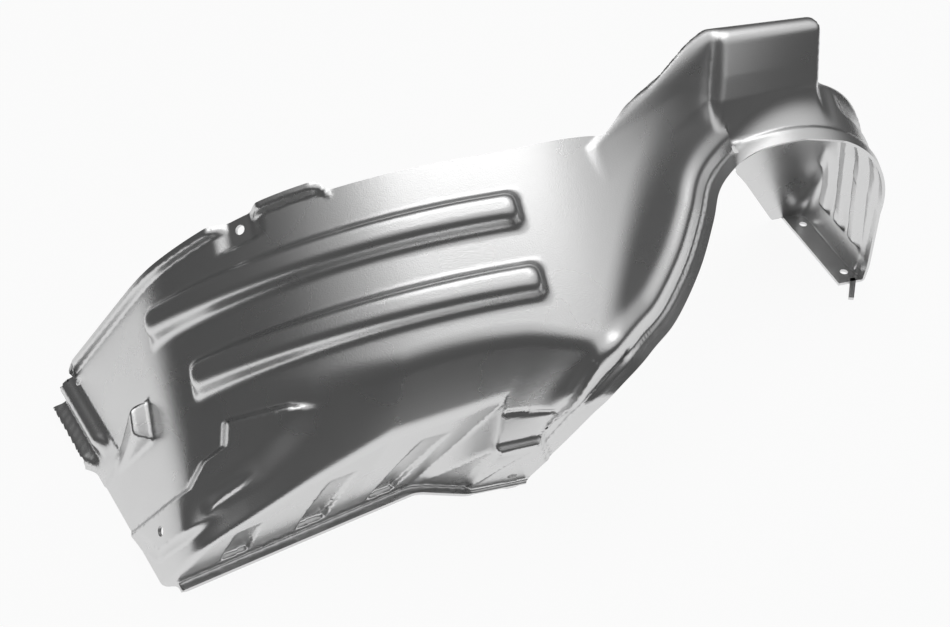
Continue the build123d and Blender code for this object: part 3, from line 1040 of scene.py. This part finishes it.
@dataclass
class Sheet:
    """Quad mesh of the mould's face, made from its field."""

    mould: Mould
    cell: float = 3.2
    hook: tuple = ((403.0, 58.0), (398.0, 60.0), (416.0, 89.0), (423.0, 89.0))
    low: tuple = (-426.0, -158.0, -10.0)
    high: tuple = (442.0, 236.0, 301.0)
    slab: int = 24
    band: float = 30.0
    probe: float = 0.05
    steepness: tuple = (0.1, 0.2)
    max_move: float = 2.0
    relax_share: float = 0.5
    snap_share: float = 0.3
    smooth_share: float = 0.45
    hole_zone: float = 3.2
    verts: Array | None = None
    faces: list = field(default_factory=list)

    def sample(self) -> Array:
        """Field on a grid, exact near the face.

        Returns:
            The grid's values.
        """
        axes = [np.arange(a, b, self.cell) for a, b in zip(self.low, self.high)]
        values = np.empty([len(a) for a in axes])
        for i in range(0, len(axes[0]), self.slab):
            grid = np.meshgrid(axes[0][i : i + self.slab], axes[1], axes[2], indexing="ij")
            p = np.stack([g.ravel() for g in grid], axis=1)
            rough = self.mould.rough(p)
            near = np.abs(rough) < self.band
            rough[near] = self.mould.distance(p[near])
            values[i : i + self.slab] = rough.reshape(grid[0].shape)
        return values

    def net(self) -> None:
        """Surface net of the zero level: a point in each cell it crosses, a quad round each edge."""
        values = self.sample()
        inside = values < 0
        shape = tuple(n - 1 for n in values.shape)
        count = np.zeros(shape, int)
        for c in product((0, 1), repeat=3):
            count += inside[tuple(slice(o, o + n) for o, n in zip(c, shape))]
        cells = np.argwhere((count > 0) & (count < 8))
        index = np.full(shape, -1)
        index[tuple(cells.T)] = np.arange(len(cells))
        self.verts = np.array(self.low) + self.cell * (cells + self.crossings(values, cells))
        quads = [self.quads(inside, index, axis) for axis in range(3)]
        self.faces = [tuple(q) for q in np.concatenate(quads).tolist()]

    def crossings(self, values: Array, cells: Array) -> Array:
        """Mean place of the zero level on the edges of cells.

        Args:
            values: The grid's values.
            cells: Indices of the cells.

        Returns:
            Place within each cell, from 0 to 1 along each axis.
        """
        total, weight = np.zeros((len(cells), 3)), np.zeros(len(cells))
        for c in product((0, 1), repeat=3):
            for axis in (a for a in range(3) if not c[a]):
                step = np.eye(3, dtype=int)[axis]
                fa = values[tuple((cells + np.array(c)).T)]
                fb = values[tuple((cells + np.array(c) + step).T)]
                cross = (fa < 0) != (fb < 0)
                t = np.where(cross, fa / np.where(cross, fa - fb, 1.0), 0.0)
                spot = np.array(c, float) + t[:, None] * step
                total += np.where(cross[:, None], spot, 0.0)
                weight += cross
        return total / weight[:, None]

    def quads(self, inside: Array, index: Array, axis: int) -> Array:
        """Quads round the grid's edges along one axis that the zero level crosses.

        Args:
            inside: Whether each grid point lies in the mould.
            index: Number of the point in each cell.
            axis: The axis.

        Returns:
            Four point numbers for each quad, in outward order.
        """
        o1, o2 = [a for a in range(3) if a != axis]
        along = np.moveaxis(inside, axis, 0)
        at = np.argwhere(along[:-1] != along[1:])
        full = np.empty((len(at), 3), int)
        full[:, axis], full[:, o1], full[:, o2] = at.T
        across = full[:, [o1, o2]]
        full = full[((across > 0) & (across < np.array(index.shape)[[o1, o2]])).all(axis=1)]
        ring = []
        for d1, d2 in ((1, 1), (0, 1), (0, 0), (1, 0)):
            cell = full.copy()
            cell[:, o1] -= d1
            cell[:, o2] -= d2
            ring.append(index[tuple(cell.T)])
        quad = np.stack(ring, axis=1)
        turned = ~(inside[tuple(full.T)] ^ (axis == 1))
        quad[turned] = quad[turned][:, ::-1]
        return quad

    def gradient(self, p: Array, f: Field | None = None, reach: float | None = None) -> Array:
        """Gradient of the mould's field, or of another function, at points.

        Args:
            p: Points.
            f: The other function.
            reach: Step to both sides over which it is taken.

        Returns:
            A vector for each point.
        """
        f, reach = f or self.mould.distance, reach or self.probe
        return np.stack([(f(p + d) - f(p - d)) / (2 * reach) for d in np.eye(3) * reach], axis=1)

    def settle(self, p: Array, turns: int) -> Array:
        """Points moved onto the field's zero level.

        Args:
            p: Points near it.
            turns: How many steps to take.

        Returns:
            The points on it.
        """
        for _ in range(turns):
            g = self.gradient(p)
            step = self.mould.distance(p) / np.maximum((g * g).sum(1), self.steepness[1])
            p = p - np.clip(step, -self.max_move, self.max_move)[:, None] * g
        return p

    def relax(self, turns: int) -> None:
        """Even out the net along the face and settle it again.

        Args:
            turns: How many times.
        """
        quads = np.array(self.faces)
        a, b = quads.T.ravel(), np.roll(quads, -1, axis=1).T.ravel()
        for _ in range(turns):
            total, weight = np.zeros_like(self.verts), np.zeros(len(self.verts))
            for i, j in ((a, b), (b, a)):
                np.add.at(total, i, self.verts[j])
                np.add.at(weight, i, 1)
            mid = total / np.maximum(weight, 1)[:, None]
            self.verts = self.settle(self.verts + self.relax_share * (mid - self.verts), 2)

    def refine(self, reach: float) -> None:
        """Split the faces round the punched holes in four.

        Args:
            reach: Distance from a hole up to which faces are split.
        """
        close = self.mould.punch.inside(self.verts) > -reach
        chosen = [len(f) == 4 and all(close[i] for i in f) for f in self.faces]
        fresh: list[Array] = []
        middle: dict[tuple[int, int], int] = {}
        base = len(self.verts)
        for face, split in zip(self.faces, chosen):
            for i, j in zip(face, face[1:] + face[:1]) if split else ():
                key = (min(i, j), max(i, j))
                if key not in middle:
                    middle[key] = base + len(fresh)
                    fresh.append((self.verts[i] + self.verts[j]) / 2)
        faces = []
        for face, split in zip(self.faces, chosen):
            ring = []
            for i, j in zip(face, face[1:] + face[:1]):
                key = (min(i, j), max(i, j))
                ring += [i, middle[key]] if key in middle else [i]
            if not split:
                faces.append(tuple(ring))
                continue
            centre = base + len(fresh)
            fresh.append(self.verts[list(face)].mean(axis=0))
            faces += [(ring[k], ring[k + 1], centre, ring[k - 1]) for k in range(0, 8, 2)]
        self.verts = np.concatenate([self.verts, self.settle(np.array(fresh), 3)])
        self.faces = faces

    def snap(self, f: Field) -> Array:
        """Move the points that lie close to a cut along the face onto it.

        Args:
            f: Function that is positive where the sheet is cut away.

        Returns:
            The function's value at each point, nothing on the cut.
        """
        value = f(self.verts)
        near = np.abs(value) < self.snap_share * self.cell
        if not near.any():
            return value
        p = self.verts[near]
        n = self.gradient(p)
        n /= np.linalg.norm(n, axis=1)[:, None]
        g = self.gradient(p, f)
        g -= (g * n).sum(1)[:, None] * n
        size = (g * g).sum(1)
        steep = size > self.steepness[0]
        move = np.where(steep, f(p) / np.maximum(size, self.steepness[0]), 0.0)
        self.verts[near] = p - np.clip(move, -self.cell / 2, self.cell / 2)[:, None] * g
        value[near] = np.where(steep, 0.0, value[near])
        return value

    def trim(self, f: Field) -> None:
        """Cut away the part of the mesh where a function is positive.

        Args:
            f: The function.
        """
        value = self.snap(f)
        keep: list[tuple] = []
        fresh: list[Array] = []
        made: dict[tuple[int, int], int] = {}
        base = len(self.verts)
        for face in self.faces:
            if not any(value[i] > 0 for i in face):
                keep.append(face)
                continue
            if all(value[i] >= 0 for i in face):
                continue
            ring = []
            for i, j in zip(face, face[1:] + face[:1]):
                if value[i] <= 0:
                    ring.append(i)
                if value[i] * value[j] < 0:
                    key = (min(i, j), max(i, j))
                    if key not in made:
                        t = value[i] / (value[i] - value[j])
                        made[key] = base + len(fresh)
                        fresh.append(self.verts[i] * (1 - t) + self.verts[j] * t)
                    ring.append(made[key])
            if len(ring) >= 3:
                keep.append(tuple(ring))
        if fresh:
            self.verts = np.concatenate([self.verts, np.array(fresh)])
        self.faces = keep

    def tidy(self) -> None:
        """Drop scraps that the trims leave, and points that no face uses."""
        parent = list(range(len(self.verts)))
        for face in self.faces:
            root = root_of(parent, face[0])
            for i in face[1:]:
                parent[root_of(parent, i)] = root
        roots = np.array([root_of(parent, face[0]) for face in self.faces])
        main = np.bincount(roots).argmax()
        self.faces = [f for f, root in zip(self.faces, roots) if root == main]
        used = np.unique(np.concatenate([np.array(f) for f in self.faces]))
        order = np.full(len(self.verts), -1)
        order[used] = np.arange(len(used))
        self.verts = self.verts[used]
        self.faces = [tuple(int(order[i]) for i in f) for f in self.faces]

    def build(self) -> bpy.types.Mesh:
        """Outer face of the sheet in the row's frame.

        Returns:
            Mesh with its outward directions stored at its points.
        """
        self.net()
        self.verts = self.settle(self.verts, 3)
        self.relax(2)
        for _ in range(2):
            self.refine(self.hole_zone * self.cell)
        for f in self.mould.trims():
            self.trim(f)
        self.tidy()
        LOG.info("sheet face: %d faces", len(self.faces))
        out = self.gradient(self.verts, reach=self.smooth_share * self.cell)
        out /= np.linalg.norm(out, axis=1)[:, None]
        count = len(self.verts)
        self.verts = np.concatenate([self.verts, [(x, y, 0.0) for x, y in self.hook]])
        self.faces.append(tuple(range(count, len(self.verts))))
        out = np.concatenate([out, np.tile([0.0, 0.0, -1.0], (len(self.hook), 1))])
        mesh = bpy.data.meshes.new(NODE + "_face")
        mesh.from_pydata(((self.verts - ORIGIN) / 1000.0).tolist(), [], self.faces)
        mesh.attributes.new("outward", "FLOAT_VECTOR", "POINT").data.foreach_set("vector", out.ravel())
        return mesh


def add_node(
    tree: bpy.types.NodeTree, kind: str, inputs: dict | None = None, **settings: str
) -> bpy.types.Node:
    """New node in a tree.

    Args:
        tree: The tree.
        kind: The node's type.
        inputs: Values of its input sockets, by name or number.
        settings: Its own settings, such as its operation.

    Returns:
        The node.
    """
    node = tree.nodes.new(kind)
    for name, value in settings.items():
        setattr(node, name, value)
    for name, value in (inputs or {}).items():
        node.inputs[name].default_value = value
    return node


def link_all(tree: bpy.types.NodeTree, nodes: dict, links: tuple) -> None:
    """Links between named nodes.

    Args:
        tree: The tree.
        nodes: Its nodes by name.
        links: For each link a node, its output, the next node and its input.
    """
    for a, out, b, into in links:
        tree.links.new(nodes[a].outputs[out], nodes[b].inputs[into])


def read_all(items: bpy.types.bpy_prop_collection, name: str, kind: type, width: int = 1) -> Array:
    """One property of all items of a mesh.

    Args:
        items: The mesh's points, faces, corners or attribute values.
        name: The property.
        kind: Its number type.
        width: How many numbers it has.

    Returns:
        A number for each item, or a row of them.
    """
    values = np.empty(len(items) * width, kind)
    items.foreach_get(name, values)
    return values.reshape(-1, width) if width > 1 else values


@dataclass
class SheetWall:
    """Geometry Nodes tree that gives the outer face its wall and cut edges."""

    thickness: float = 0.003
    weld: float = 1.0e-6
    name: str = "sheet_wall"

    def tree(self) -> bpy.types.NodeTree:
        """Node tree with inputs for the sheet's thickness and finish.

        Returns:
            The tree.
        """
        tree = bpy.data.node_groups.new(self.name, "GeometryNodeTree")
        sockets = (("Geometry", "Geometry"), ("Sheet thickness", "Float"), ("Finish", "Material"))
        for name, kind in sockets:
            tree.interface.new_socket(name, in_out="INPUT", socket_type="NodeSocket" + kind)
        tree.interface.new_socket("Geometry", in_out="OUTPUT", socket_type="NodeSocketGeometry")
        mark = {"kind": "GeometryNodeStoreNamedAttribute", "data_type": "BOOLEAN", "domain": "FACE"}
        nodes = {
            "enter": add_node(tree, "NodeGroupInput"),
            "way": add_node(
                tree, "GeometryNodeInputNamedAttribute", {"Name": "outward"}, data_type="FLOAT_VECTOR"
            ),
            "inwards": add_node(tree, "ShaderNodeMath", {1: -1.0}, operation="MULTIPLY"),
            "offset": add_node(tree, "ShaderNodeVectorMath", operation="SCALE"),
            "pull": add_node(tree, "GeometryNodeExtrudeMesh", {"Individual": False}, mode="FACES"),
            "mark_side": add_node(tree, inputs={"Name": "cut_edge"}, **mark),
            "mark_inner": add_node(tree, inputs={"Name": "inner_face"}, **mark),
            "flip": add_node(tree, "GeometryNodeFlipFaces"),
            "join": add_node(tree, "GeometryNodeJoinGeometry"),
            "weld": add_node(tree, "GeometryNodeMergeByDistance", {"Distance": self.weld}),
            "real": add_node(tree, "GeometryNodeRealizeInstances"),
            "dress": add_node(tree, "GeometryNodeSetMaterial"),
            "leave": add_node(tree, "NodeGroupOutput"),
        }
        link_all(tree, nodes, (
            ("enter", "Sheet thickness", "inwards", 0), ("way", "Attribute", "offset", 0),
            ("inwards", 0, "offset", "Scale"), ("enter", "Geometry", "pull", "Mesh"),
            ("offset", "Vector", "pull", "Offset"), ("pull", "Mesh", "mark_side", "Geometry"),
            ("pull", "Side", "mark_side", "Value"), ("mark_side", 0, "mark_inner", "Geometry"),
            ("pull", "Top", "mark_inner", "Value"), ("mark_inner", 0, "flip", "Mesh"),
            ("flip", 0, "join", 0), ("enter", "Geometry", "join", 0), ("join", 0, "weld", "Geometry"),
            ("weld", 0, "real", 0), ("real", 0, "dress", "Geometry"),
            ("enter", "Finish", "dress", "Material"), ("dress", 0, "leave", 0),
        ))
        return tree

    def apply(self, face: bpy.types.Mesh, finish: bpy.types.Material) -> bpy.types.Object:
        """Walled sheet as a plain object.

        Args:
            face: Outer face with its outward directions.
            finish: Material of the sheet.

        Returns:
            Object at the origin, with no modifier left on it.
        """
        tree = self.tree()
        obj = bpy.data.objects.new(NODE + "_formed", face)
        bpy.context.scene.collection.objects.link(obj)
        modifier = obj.modifiers.new(self.name, "NODES")
        modifier.node_group = tree
        values = {"Sheet thickness": self.thickness, "Finish": finish}
        for item in tree.interface.items_tree:
            if item.item_type == "SOCKET" and item.in_out == "INPUT" and item.name in values:
                modifier[item.identifier] = values[item.name]
        graph = bpy.context.evaluated_depsgraph_get()
        mesh = bpy.data.meshes.new_from_object(obj.evaluated_get(graph))
        mesh.name = NODE + "_sheet"
        spots = read_all(mesh.vertices, "co", np.float32, 3)
        spots[:, 2] = np.maximum(spots[:, 2], 0.0)
        mesh.vertices.foreach_set("co", spots.ravel())
        obj.modifiers.remove(modifier)
        obj.data = mesh
        bpy.data.meshes.remove(face)
        return obj

    def smooth(self, mesh: bpy.types.Mesh) -> None:
        """Shade both faces by the mould's own directions and leave the cut edges crisp.

        Args:
            mesh: Walled sheet with the tree's attributes, which are taken off it.
        """
        spans = read_all(mesh.polygons, "loop_total", np.int32)
        flat = read_all(mesh.polygons, "normal", np.float32, 3)
        points = read_all(mesh.loops, "vertex_index", np.int32)
        out = read_all(mesh.attributes["outward"].data, "vector", np.float32, 3)
        edge = np.repeat(read_all(mesh.attributes["cut_edge"].data, "value", bool), spans)[:, None]
        inner = np.repeat(read_all(mesh.attributes["inner_face"].data, "value", bool), spans)[:, None]
        normal = np.where(edge, np.repeat(flat, spans, axis=0), np.where(inner, -1.0, 1.0) * out[points])
        mesh.shade_smooth()
        mesh.normals_split_custom_set(normal.tolist())
        for name in ("outward", "cut_edge", "inner_face"):
            mesh.attributes.remove(mesh.attributes[name])


@dataclass(frozen=True)
class PlasticFinish:
    """Black polyethylene with a fine moulded grain."""

    name: str = "black_polyethylene"
    dark: tuple = (0.032, 0.033, 0.034, 1.0)
    pale: tuple = (0.062, 0.063, 0.064, 1.0)
    rough_low: float = 0.23
    rough_high: float = 0.33
    ior: float = 3.7
    gloss: float = 1.0
    cloud: float = 14.0
    cloud_detail: float = 5.0
    grain: float = 900.0
    grain_detail: float = 2.0
    grain_share: float = 0.25
    grain_height: float = 0.0004

    def build(self) -> bpy.types.Material:
        """Material with mottled colour, uneven sheen and grain.

        Returns:
            The material.
        """
        mat = bpy.data.materials.new(self.name)
        mat.use_nodes = True
        tree = mat.node_tree
        shader = tree.nodes["Principled BSDF"]
        shader.inputs["IOR"].default_value = self.ior
        shader.inputs["Specular IOR Level"].default_value = self.gloss
        noise = "ShaderNodeTexNoise"
        sheen = {"To Min": self.rough_low, "To Max": self.rough_high}
        bump = {"Strength": self.grain_share, "Distance": self.grain_height}
        nodes = {
            "coord": add_node(tree, "ShaderNodeTexCoord"),
            "cloud": add_node(tree, noise, {"Scale": self.cloud, "Detail": self.cloud_detail}),
            "fine": add_node(tree, noise, {"Scale": self.grain, "Detail": self.grain_detail}),
            "colour": add_node(tree, "ShaderNodeMix", data_type="RGBA"),
            "rough": add_node(tree, "ShaderNodeMapRange", sheen),
            "bump": add_node(tree, "ShaderNodeBump", bump),
            "shader": shader,
        }
        nodes["colour"].inputs["A"].default_value = self.dark
        nodes["colour"].inputs["B"].default_value = self.pale
        link_all(tree, nodes, (
            ("coord", "Object", "cloud", "Vector"), ("coord", "Object", "fine", "Vector"),
            ("cloud", "Fac", "colour", "Factor"), ("colour", "Result", "shader", "Base Color"),
            ("cloud", "Fac", "rough", "Value"), ("rough", "Result", "shader", "Roughness"),
            ("fine", "Fac", "bump", "Height"), ("bump", "Normal", "shader", "Normal"),
        ))
        return mat


@dataclass
class Liner:
    """The liner: its formed sheet and finish."""

    finish: PlasticFinish = field(default_factory=PlasticFinish)
    wall: SheetWall = field(default_factory=SheetWall)

    def build(self) -> bpy.types.Object:
        """Formed, trimmed and walled sheet as an object."""
        return self.wall.apply(Sheet(Mould()).build(), self.finish.build())

    def dress(self, obj: bpy.types.Object) -> None:
        """Shade the sheet and give it its place in the frame.

        Args:
            obj: The sheet.
        """
        self.wall.smooth(obj.data)
        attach(obj, "root")
        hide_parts(NODE)


@dataclass
class Studio:
    """White table, soft overhead light, dim room and the photograph's camera."""

    target: tuple = (20.4, 139.6, 0.0)
    distance: float = 1221.3
    focal_px: float = 1200.0
    image_px: float = 950.0
    sensor: float = 36.0
    clip_end: float = 50.0
    table_low: tuple = (-1.7, -0.42)
    table_high: tuple = (1.6, 2.4)
    table_colour: tuple = (0.82, 0.82, 0.82, 1.0)
    table_white: float = 0.93
    dim: float = 0.12
    bright: float = 0.96
    light_way: tuple = (0.247, -0.06, 0.967)
    light_core: float = math.radians(22.0)
    light_edge: float = math.radians(60.0)
    lamp_size: tuple = (1.4, 1.0)
    lamp_power: float = 5.0
    lamp_spot: tuple = (0.15, 0.25, 1.7)

    def camera(self) -> None:
        """Camera at the photograph's place."""
        right, up, back = view_axes()
        spot = (np.array(self.target) + self.distance * back - ORIGIN) / 1000.0
        data = bpy.data.cameras.new("camera")
        data.sensor_fit = "HORIZONTAL"
        data.sensor_width = self.sensor
        data.lens = self.focal_px / self.image_px * self.sensor
        data.clip_end = self.clip_end
        obj = bpy.data.objects.new("camera", data)
        turn = np.eye(4)
        turn[:3] = np.stack([right, up, back, spot], axis=1)
        obj.matrix_world = Matrix(turn.tolist())
        bpy.context.scene.collection.objects.link(obj)
        bpy.context.scene.camera = obj

    def floor(self) -> None:
        """White table that keeps a faint shadow."""
        mesh = bpy.data.meshes.new("table")
        (x0, y0), (x1, y1) = self.table_low, self.table_high
        mesh.from_pydata([(x0, y0, 0), (x1, y0, 0), (x1, y1, 0), (x0, y1, 0)], [], [(0, 1, 2, 3)])
        obj = bpy.data.objects.new("table", mesh)
        mat = bpy.data.materials.new("white_table")
        mat.use_nodes = True
        tree = mat.node_tree
        tree.nodes.clear()
        nodes = {
            "path": add_node(tree, "ShaderNodeLightPath"),
            "share": add_node(tree, "ShaderNodeMath", {1: self.table_white}, operation="MULTIPLY"),
            "clear": add_node(tree, "ShaderNodeMath", operation="MAXIMUM"),
            "seen": add_node(tree, "ShaderNodeMath", operation="MAXIMUM"),
            "matt": add_node(tree, "ShaderNodeBsdfDiffuse", {"Color": self.table_colour}),
            "glow": add_node(tree, "ShaderNodeEmission"),
            "mix": add_node(tree, "ShaderNodeMixShader"),
            "out": add_node(tree, "ShaderNodeOutputMaterial"),
        }
        link_all(tree, nodes, (
            ("path", "Is Camera Ray", "share", 0), ("path", "Is Glossy Ray", "clear", 0),
            ("path", "Is Transmission Ray", "clear", 1), ("share", 0, "seen", 0), ("clear", 0, "seen", 1),
            ("seen", 0, "mix", "Fac"), ("matt", 0, "mix", 1), ("glow", 0, "mix", 2),
            ("mix", 0, "out", "Surface"),
        ))
        mesh.materials.append(mat)
        bpy.context.scene.collection.objects.link(obj)

    def room(self) -> None:
        """Dim room with a soft light overhead; white where the camera sees it."""
        world = bpy.data.worlds.new("room")
        bpy.context.scene.world = world
        world.use_nodes = True
        tree = world.node_tree
        tree.nodes.clear()
        patch = {
            "From Min": math.cos(self.light_edge), "From Max": math.cos(self.light_core),
            "To Min": self.dim, "To Max": self.bright,
        }
        nodes = {
            "coord": add_node(tree, "ShaderNodeTexCoord"),
            "dot": add_node(tree, "ShaderNodeVectorMath", {1: self.light_way}, operation="DOT_PRODUCT"),
            "patch": add_node(tree, "ShaderNodeMapRange", patch, interpolation_type="SMOOTHSTEP"),
            "path": add_node(tree, "ShaderNodeLightPath"),
            "mix": add_node(tree, "ShaderNodeMix", {"B": 1.0}),
            "ground": add_node(tree, "ShaderNodeBackground"),
            "out": add_node(tree, "ShaderNodeOutputWorld"),
        }
        link_all(tree, nodes, (
            ("coord", "Generated", "dot", 0), ("dot", "Value", "patch", "Value"),
            ("path", "Is Camera Ray", "mix", "Factor"), ("patch", "Result", "mix", "A"),
            ("mix", "Result", "ground", "Strength"), ("ground", 0, "out", "Surface"),
        ))

    def lamp(self) -> None:
        """Soft lamp over the table."""
        data = bpy.data.lights.new("softbox", "AREA")
        data.shape = "RECTANGLE"
        data.size, data.size_y = self.lamp_size
        data.energy = self.lamp_power
        obj = bpy.data.objects.new("softbox", data)
        obj.location = self.lamp_spot
        bpy.context.scene.collection.objects.link(obj)

    def build(self) -> None:
        """Put the studio round the object."""
        self.camera()
        self.floor()
        self.room()
        self.lamp()
        bpy.context.scene.view_settings.view_transform = "Standard"


def main() -> None:
    """Build the liner and its studio, and log the sheet's face count."""
    logging.basicConfig(level=logging.INFO, format="%(message)s")
    liner = Liner()
    piece = liner.build()
    liner.dress(piece)
    LOG.info("%s: %d faces", piece.name, len(piece.data.polygons))
    Studio().build()
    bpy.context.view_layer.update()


if __name__ == "__main__":
    main()
